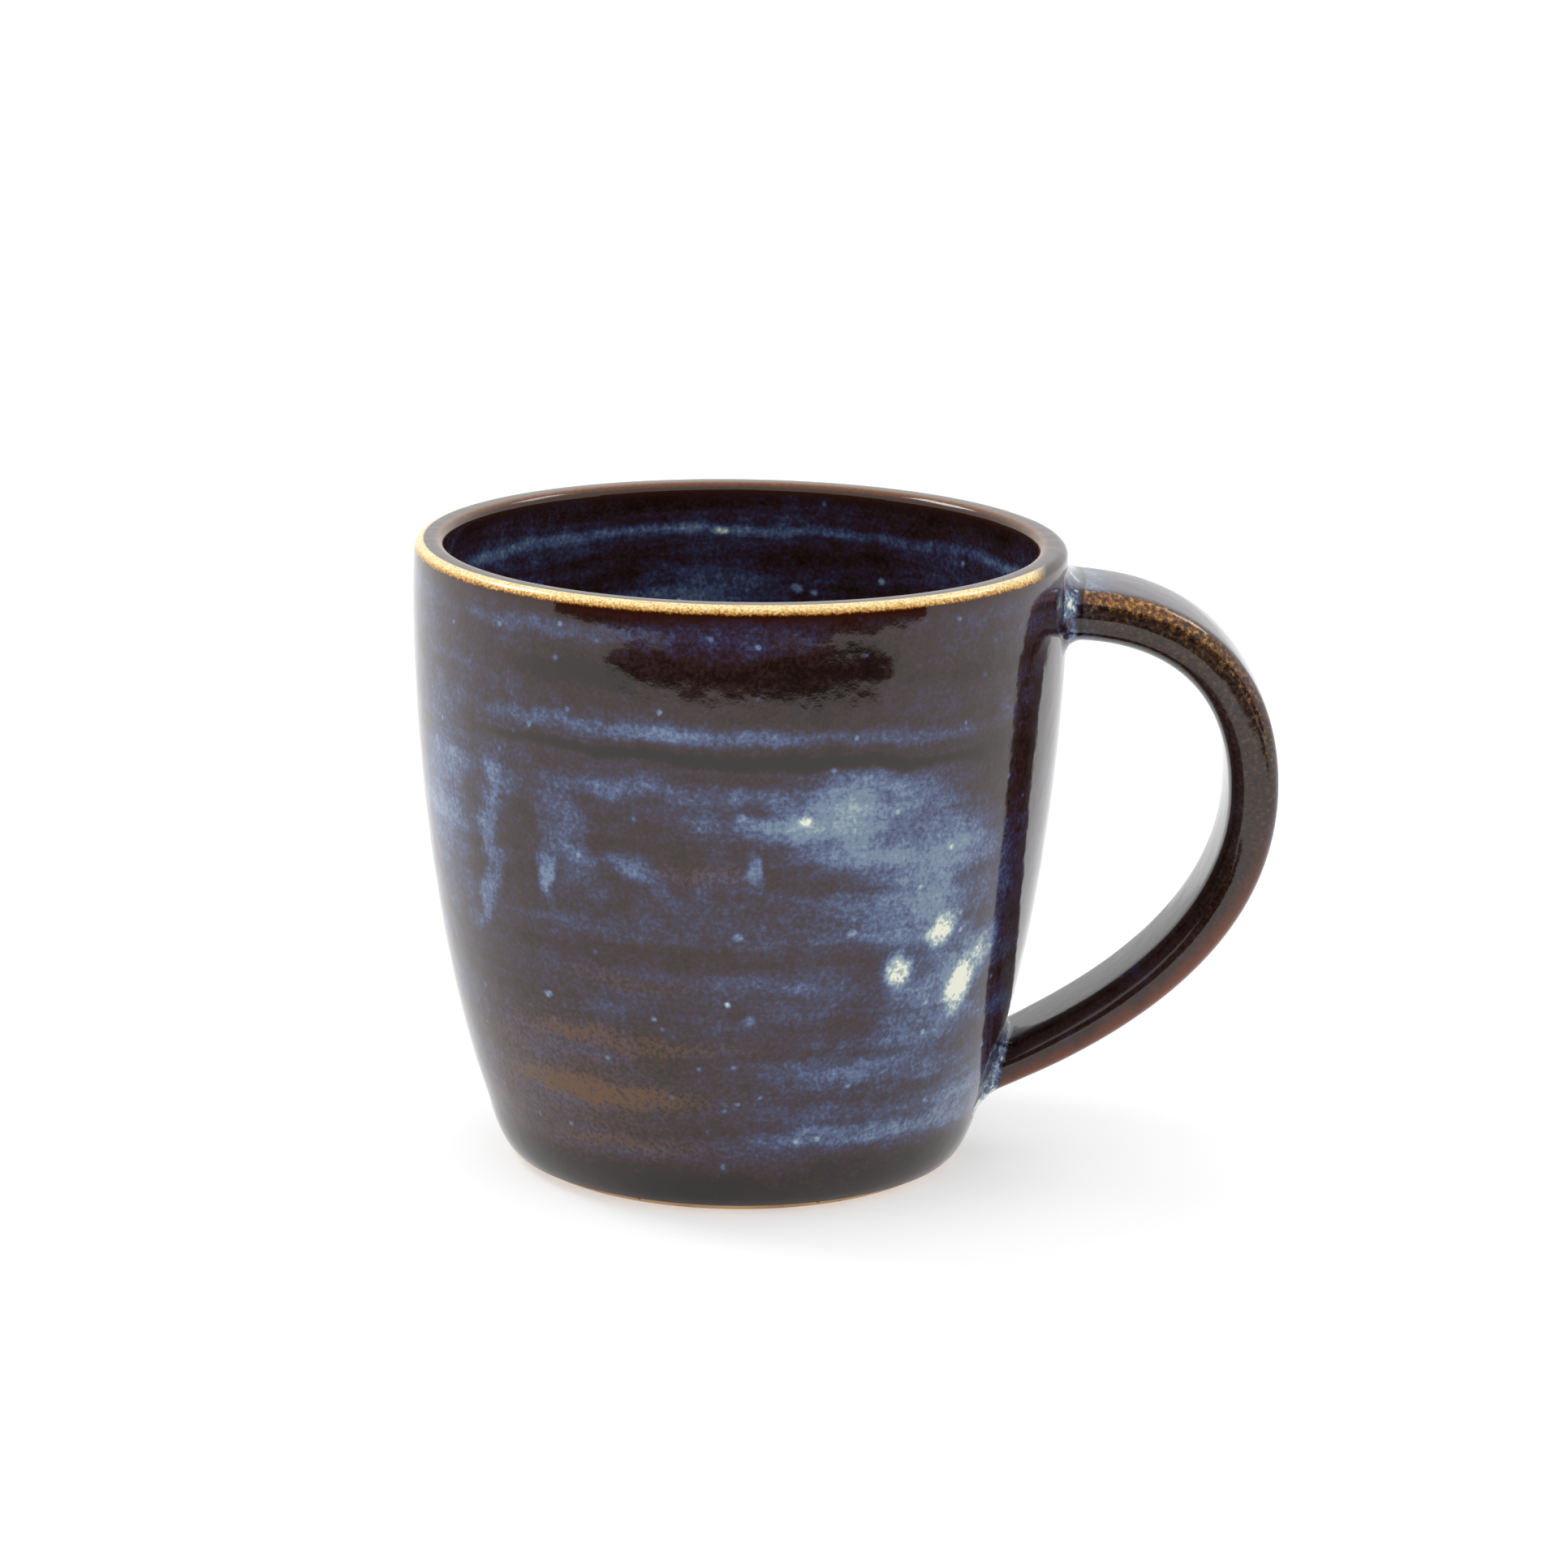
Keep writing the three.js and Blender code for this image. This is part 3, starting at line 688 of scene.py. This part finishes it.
# %% Marks of the inside coat
INSIDE_MARKS = [
    ((0, 0, 79.2), (80, 80, 1.1), 0, 0.22), ((0, 0, 83), (80, 80, 1.8), 0, -0.12),
    ((0, 0, 75.6), (80, 80, 1.6), 0, -0.08), ((-8, 36, 68), (26, 16, 2.4), 0, 0.1),
    ((30, 24, 77), (12, 16, 2.5), -6, 0.14), ((0, 0, 4), (16, 16, 3), 0, 0.24),
]
INSIDE_DROPS = [
    ((8, 39, 71), (0.9, 5, 0.8), 0, 0.4), ((10.5, 38, 70.4), (0.6, 5, 0.6), 0, 0.36),
    ((20, 33, 73), (0.8, 5, 0.7), 0, 0.4), ((-15, 36, 66), (0.9, 5, 1.4), 0, 0.34),
    ((-24, 31, 67), (0.9, 5, 0.8), 0, 0.36), ((-3, 39.6, 79), (1.2, 5, 0.6), 0, 0.26),
]


def inside_thickness(tree, mm, field, grain):
    """Poured glaze: bluer, with its own bands and specks."""
    field = put(tree, "Math", {"operation": "ADD", 1: -0.22}, {0: field})
    field = marked(tree, pushed(tree, mm, 11, 3), INSIDE_MARKS, field)
    return marked(tree, pushed(tree, mm, 3, 0.8), INSIDE_DROPS, field)


def inside_thin(tree, mm, colour, grain):
    """Brown under the lip, a golden brown line at its inner edge, partly a painted highlight, and a dark
    land on top of it.
    """
    level, radius, _ = rim_place(tree, mm, grain)
    land = put(tree, "MapRange", {"From Min": 83.2, "From Max": 84.9}, {"Value": level})
    towards_edge = put(tree, "MapRange", {"From Min": 83.2, "From Max": 86.2}, {"Value": level})
    # Brown under the lip to golden brown at the inner edge, where the glaze is thin; that golden brown is
    # partly a painted highlight
    edge_browns_and_highlight = [(0.3, "#2a150d"), (0.75, "#3c2010"), (0.93, "#633a19"), (1.0, "#80522a")]
    edge_brown_and_highlight = put(tree, "ValToRGB", {"stops": edge_browns_and_highlight}, {"Fac": towards_edge})
    colour = put(tree, "Mix", {"data_type": "RGBA"}, {0: land, 6: colour, 7: edge_brown_and_highlight})
    top = put(tree, "MapRange", {"From Min": 41.0, "From Max": 41.7}, {"Value": radius})
    return put(tree, "Mix", {"data_type": "RGBA", 7: linear("#2a1b19")}, {0: top, 6: (colour, 2)}), 2


# The same glaze poured in and swirled out: bluer, with close bands
inside_finish = reactive_glaze("glossy_reactive_glaze_poured", inside_thickness, inside_thin, (22, 22, 3))

# %% [markdown]
# ## The handle's coat
# The handle was dipped, so its glaze is plain and dark: speckled brown on the flanks, ragged rust along the
# lower edges, and honey along the arrises from the upper root to the bow. These follow the strap and not
# the space around it, so the material reads the place on the strap that was stored on the mesh.

# %% The strap's glaze
def strap_shares(tree):
    """Shares of the strap: middle to a side (0 to 1), finger side to outside (-1 to 1), root to root."""
    place = put(tree, "Attribute", {"attribute_name": "strap"})
    axes = put(tree, "SeparateXYZ", links={"Vector": (place, 1)})
    across = put(tree, "Math", {"operation": "ABSOLUTE"}, {0: (axes, 0)})
    return across, (axes, 1), (axes, 2)


def strap_thickness_and_sheen(tree, mm, field, grain):
    """Dark glaze, with a violet sheen painted on the outside face of the upper half."""
    _, outer, along = strap_shares(tree)
    # Painted sheen: the field is raised on the outside face of the upper half, so that it goes violet grey
    top = put(tree, "MapRange", {"From Min": 0.4, "From Max": 0.9, "To Max": 0.12}, {"Value": outer})
    fade = put(tree, "MapRange", {"From Min": 0.5, "From Max": 0.3}, {"Value": along})
    painted_sheen_lift = put(tree, "Math", {"operation": "MULTIPLY"}, {0: top, 1: fade})
    calm = put(tree, "Math", {"operation": "MULTIPLY_ADD", 1: 0.7, 2: -0.14}, {0: field})
    field = put(tree, "Math", {"operation": "ADD"}, {0: calm, 1: painted_sheen_lift})
    root = put(tree, "MapRange", {"From Min": 0.075, "From Max": 0.035, "To Max": 0.5,
                                  "interpolation_type": "SMOOTHSTEP"}, {"Value": along})
    ragged_root = put(tree, "Math", {"operation": "MULTIPLY"}, {0: root, 1: grain})
    return put(tree, "Math", {"operation": "ADD"}, {0: field, 1: ragged_root})


def strap_thin(tree, mm, colour, grain):
    """Speckled brown flanks, ragged rust along the lower edges, and honey on the upper arrises."""
    across, outer, along = strap_shares(tree)
    flank_along = put(tree, "MapRange", {"From Min": 0.75, "From Max": 0.25, "To Max": 0.85},
                      {"Value": along})
    flank = put(tree, "MapRange", {"From Min": 0.80, "From Max": 0.98}, {"Value": across})
    flank_share = put(tree, "Math", {"operation": "MULTIPLY"}, {0: flank_along, 1: flank})
    flank_browns = [(0.32, "#1d120e"), (0.52, "#35251b"), (0.72, "#5c442c")]
    browns = put(tree, "ValToRGB", {"stops": flank_browns}, {"Fac": grain})
    colour = put(tree, "Mix", {"data_type": "RGBA"}, {0: flank_share, 6: colour, 7: browns})
    # How far a point is from the outside arris, in millimetres across the strap
    from_middle = put(tree, "CombineXYZ", links={"X": across, "Y": outer})
    strap_halves, minus_arris = (9.2, 3.8, 0), (-8.6, -2.9, 0)
    from_arris = put(tree, "VectorMath", {"operation": "MULTIPLY_ADD", 1: strap_halves, 2: minus_arris},
                     {0: from_middle})
    reach = put(tree, "VectorMath", {"operation": "LENGTH"}, {0: from_arris})
    # Rust, from the bow down
    rust_along = put(tree, "MapRange", {"From Min": 0.44, "From Max": 0.62}, {"Value": along})
    rust_near = put(tree, "MapRange", {"From Min": 3.4, "From Max": 0.9}, {"Value": (reach, 1)})
    rust_runs = put(tree, "TexNoise", {"Scale": 1 / 3.5, "Detail": 5, "Roughness": 0.65}, {"Vector": mm})
    ragged = put(tree, "Math", {"operation": "MULTIPLY_ADD", 1: 3.0, 2: -1.4}, {0: rust_runs})
    rust_share = put(tree, "Math", {"operation": "ADD", "use_clamp": True}, {0: rust_near, 1: ragged})
    rust_share = put(tree, "Math", {"operation": "MULTIPLY"}, {0: rust_share, 1: rust_near})
    rust_share = put(tree, "Math", {"operation": "MULTIPLY"}, {0: rust_share, 1: rust_along})
    colour = put(tree, "Mix", {"data_type": "RGBA", 7: linear("#64331c")}, {0: rust_share, 6: (colour, 2)})
    # Honey, from the upper root to the bow
    near = put(tree, "MapRange", {"From Min": 2.1, "From Max": 0.5, "interpolation_type": "SMOOTHSTEP"},
               {"Value": (reach, 1)})
    ahead = put(tree, "MapRange", {"From Min": 0.46, "From Max": 0.10, "To Max": 1.1}, {"Value": along})
    arris = put(tree, "Math", {"operation": "MULTIPLY"}, {0: near, 1: ahead})
    speckled = put(tree, "Math", {"operation": "MULTIPLY_ADD", 1: 1.6, 2: -0.95}, {0: grain})
    share = put(tree, "Math", {"operation": "ADD", "use_clamp": True}, {0: arris, 1: speckled})
    share = put(tree, "Math", {"operation": "MULTIPLY"}, {0: share, 1: ahead})
    share = put(tree, "Math", {"operation": "MULTIPLY", "use_clamp": True}, {0: share, 1: near})
    arris_honey = [(0.36, "#3f1d0b"), (0.52, "#7a4a18"), (0.68, "#b98a3c"), (0.8, "#e0c484")]
    honey = put(tree, "ValToRGB", {"stops": arris_honey}, {"Fac": grain})
    return put(tree, "Mix", {"data_type": "RGBA"}, {0: share, 6: (colour, 2), 7: honey}), 2


# Dipped in the same glaze: plain and dark, so its edges and reflections tell the shape
handle_finish = reactive_glaze("glossy_reactive_glaze_dipped", strap_thickness_and_sheen, strap_thin, (14, 9, 9), 0.9)

# %% [markdown]
# ## Pooled glaze at the joints
# Melted glaze is drawn into the hollow round each root, so there it is thick and pale blue with cream
# flecks. Where the pool ends on the strap and on the wall the glaze thins, which draws a dark line along
# both edges.

# %% The joints' glaze
def joint_thickness(tree, mm, field, grain):
    """Pale and patchy where the pool is deep, dark along its two edges."""
    _, _, along = strap_shares(tree)
    from_middle = put(tree, "Math", {"operation": "SUBTRACT", 1: 0.5}, {0: along})
    outwards = put(tree, "Math", {"operation": "ABSOLUTE"}, {0: from_middle})
    from_root = put(tree, "Math", {"operation": "MULTIPLY_ADD", 1: -strap_length, 2: strap_length / 2},
                    {0: outwards})
    patchy = put(tree, "Math", {"operation": "MULTIPLY_ADD", 1: 2.0, 2: -0.68}, {0: field})
    strap_edge = put(tree, "MapRange", {"From Min": 2.0, "From Max": 2.8, "To Max": -0.5},
                     {"Value": from_root})
    wall_edge = put(tree, "MapRange", {"From Min": 0.9, "From Max": 0.6, "To Max": -0.4},
                    {"Value": from_root})
    field = put(tree, "Math", {"operation": "ADD"}, {0: patchy, 1: strap_edge})
    return put(tree, "Math", {"operation": "ADD"}, {0: field, 1: wall_edge})


def joint_thin(tree, mm, colour, grain):
    """Nothing over the pooled glaze, which is thick everywhere but at its edges."""
    return colour


# Melted glaze that ran together: pale blue patches with dark crevices between them
joint_finish = reactive_glaze("glossy_reactive_glaze_pooled", joint_thickness, joint_thin, (3, 3, 5), 1.0)

# %% [markdown]
# ## Bare stoneware
# The foot is fired stoneware with no glaze: matt, buff to pale brown, with scattered dark iron specks about
# half a millimetre across and a fine grit that the turning tool leaves.

# %% The clay's finish
# Unglazed clay scatters all its light: buff, dry and speckled with iron
IRON_SPACING, GRIT = 1.7, 0.35
clay_finish = bpy.data.materials.new("matt_bare_stoneware_turned")
clay_finish.use_nodes = True
clay_tree = clay_finish.node_tree
clay_tree.nodes.clear()
clay_place = put(clay_tree, "TexCoord")
clay_mm = put(clay_tree, "Mapping", {"Scale": (1000, 1000, 1000)}, {"Vector": (clay_place, 3)})
clay_tone = put(clay_tree, "TexNoise", {"Scale": 1 / 9, "Detail": 5, "Roughness": 0.6}, {"Vector": clay_mm})
clay_colour = put(clay_tree, "ValToRGB", {"stops": [(0.3, "#a07850"), (0.55, "#b99468"), (0.75, "#cbab80")]},
                  {"Fac": clay_tone})
iron_cells = put(clay_tree, "TexVoronoi", {"Scale": 1 / IRON_SPACING}, {"Vector": clay_mm})
iron_share = put(clay_tree, "MapRange", {"From Min": 0.20, "From Max": 0.12}, {"Value": (iron_cells, 0)})
iron_chance = put(clay_tree, "Math", {"operation": "GREATER_THAN", 1: 0.6}, {0: (iron_cells, 1)})
iron_share = put(clay_tree, "Math", {"operation": "MULTIPLY"}, {0: iron_share, 1: iron_chance})
clay_colour = put(clay_tree, "Mix", {"data_type": "RGBA", 7: linear("#4a3020")},
                  {0: iron_share, 6: clay_colour})
clay_grit = put(clay_tree, "TexNoise", {"Scale": 1 / GRIT, "Detail": 2, "Roughness": 0.7},
                {"Vector": clay_mm})
clay_bump = put(clay_tree, "Bump", {"Strength": 0.7, "Distance": 0.00006}, {"Height": clay_grit})
clay_shader = put(clay_tree, "BsdfPrincipled", {"Roughness": 0.85, "IOR": 1.45},
                  {"Base Color": (clay_colour, 2), "Normal": clay_bump})
put(clay_tree, "OutputMaterial", links={"Surface": clay_shader})

# %% [markdown]
# ## Each piece in its place
# Nothing on a mug moves, so every piece rides on the one body. Each modelled piece stands for the packed
# solid of the same part, which is hidden. The imported strap of clay stays under its glaze.

# %% Finishes, bodies and slots
for piece, finish, solid, slot in (
        (clay_cup, clay_finish, "clay_cup", "bare_clay"),
        (glaze_outside, outside_finish, "glaze_outside", "outside_glaze"),
        (glaze_inside, inside_finish, "glaze_inside", "inside_glaze"),
        (handle, handle_finish, "glaze_handle", "handle_glaze"),
        (joint_upper, joint_finish, "slip_joint_upper", "pooled_glaze"),
        (joint_lower, joint_finish, "slip_joint_lower", "pooled_glaze")):
    piece.data.materials.clear()
    piece.data.materials.append(finish)
    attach(piece, "root")
    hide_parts(solid)
    print(piece.name, "stands for", solid)
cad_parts["clay_handle"].data.materials.clear()
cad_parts["clay_handle"].data.materials.append(clay_finish)

# %% [markdown]
# ## Floor and light
# The mug stands on a white table inside a white tent. A tent gives the glaze its soft grey sheen on every
# side, and white edges where it is seen at a slant. In front of the table are two dark openings that the
# glaze mirrors: the lower one as a dark oval on the wall, the upper one as darker glaze under the lip. The
# cards that stand for them are seen only in reflections.

# %% White table, dark openings, white tent, two soft lights
def plain(name, code, roughness):
    """A matt finish in one colour, for things that aren't part of the mug."""
    material = bpy.data.materials.new(name)
    material.use_nodes = True
    shader = material.node_tree.nodes["Principled BSDF"]
    shader.inputs["Base Color"].default_value = linear(code)
    shader.inputs["Roughness"].default_value = roughness
    shader.inputs["Specular IOR Level"].default_value = 0
    return material


# The table glows a little, as a lit card does, which keeps the shadow under the mug soft and pale
table_finish = plain("matt_white_card", "#d2d2d2", 1.0)
glow = table_finish.node_tree.nodes["Principled BSDF"].inputs
glow["Emission Color"].default_value = (1, 1, 1, 1)
glow["Emission Strength"].default_value = 0.45
deselect_all()
bpy.ops.mesh.primitive_plane_add(size=6, location=(0, 0, 0))
table = bpy.context.object
table.name = "white_table"
table.data.materials.append(table_finish)


def dark_card(name, corners):
    """A black card round the mug, seen only in reflections: (degrees from the front, low, high in mm)."""
    deselect_all()
    reach = 0.31
    bpy.ops.mesh.primitive_grid_add(x_subdivisions=len(corners) - 1, y_subdivisions=1, size=1)
    card = bpy.context.object
    card.name = name
    for index, (degrees, low, high) in enumerate(corners):
        angle = math.radians(degrees)
        for vertex, level in ((index, low), (index + len(corners), high)):
            card.data.vertices[vertex].co = (reach * math.sin(angle), -reach * math.cos(angle), level * MM)
    card.visible_camera = card.visible_diffuse = card.visible_shadow = card.visible_transmission = False
    card.data.materials.append(plain(name + "_black", "#050505", 1.0))
    return card


lens = []
for step in range(-12, 13):
    middle = 16 - step * 0.25
    bulge = 16.5 * math.sqrt(1 - (step / 12) ** 2)
    lens.append((4 + step * 4.1, middle - bulge, middle + bulge))
dark_card("opening_below", lens)
band = []
for degrees in range(-62, 63, 4):
    band.append((degrees, 33 + max(0, abs(degrees) - 22) * 0.35, 190 - abs(degrees)))
dark_card("opening_above", band)

world = bpy.data.worlds.new("white_tent")
bpy.context.scene.world = world
world.use_nodes = True
world.node_tree.nodes["Background"].inputs["Color"].default_value = (1, 1, 1, 1)
world.node_tree.nodes["Background"].inputs["Strength"].default_value = 1.0


def soft_light(name, place, aim, size, watts):
    """A square soft light at a place, aimed at a point, in metres."""
    lamp = bpy.data.lights.new(name, "AREA")
    lamp.size, lamp.energy = size, watts
    thing = bpy.data.objects.new(name, lamp)
    bpy.context.scene.collection.objects.link(thing)
    thing.location = place
    thing.rotation_euler = (Vector(aim) - Vector(place)).to_track_quat("-Z", "Y").to_euler()


soft_light("soft_light_left", (-0.65, 0.28, 0.78), (0, 0, 0.08), 0.34, 3.2)
soft_light("soft_light_right", (0.75, 0.35, 0.9), (0, 0, 0.08), 0.3, 1.6)

# %% [markdown]
# ## The camera
# The mug is seen from in front and a little above, from far enough away that its rim is a slim oval. The
# camera is turned by a hair to one side and tilted by a hair, as a hand-set one is.

# %% Camera
PITCH, YAW, ROLL = math.radians(13.967), math.radians(0.498), math.radians(0.900)
forward = Vector((math.sin(YAW) * math.cos(PITCH), math.cos(YAW) * math.cos(PITCH), -math.sin(PITCH)))
level_right = forward.cross(Vector((0, 0, 1))).normalized()
level_up = level_right.cross(forward)
right = level_right * math.cos(ROLL) + level_up * math.sin(ROLL)
up = level_up * math.cos(ROLL) - level_right * math.sin(ROLL)
lens_data = bpy.data.cameras.new("camera")
lens_data.sensor_width, lens_data.lens = 36, 124.71
lens_data.clip_start = 0.01
camera = bpy.data.objects.new("camera", lens_data)
bpy.context.scene.collection.objects.link(camera)
camera.location = (0, -0.7221, 0.2314)
camera_axes = [[right[row], up[row], -forward[row]] for row in range(3)]
camera.rotation_euler = Matrix(camera_axes).to_euler()
bpy.context.scene.camera = camera
bpy.context.scene.view_settings.view_transform = "Standard"
print("camera", [round(side, 3) for side in camera.location], "lens", lens_data.lens, "mm")
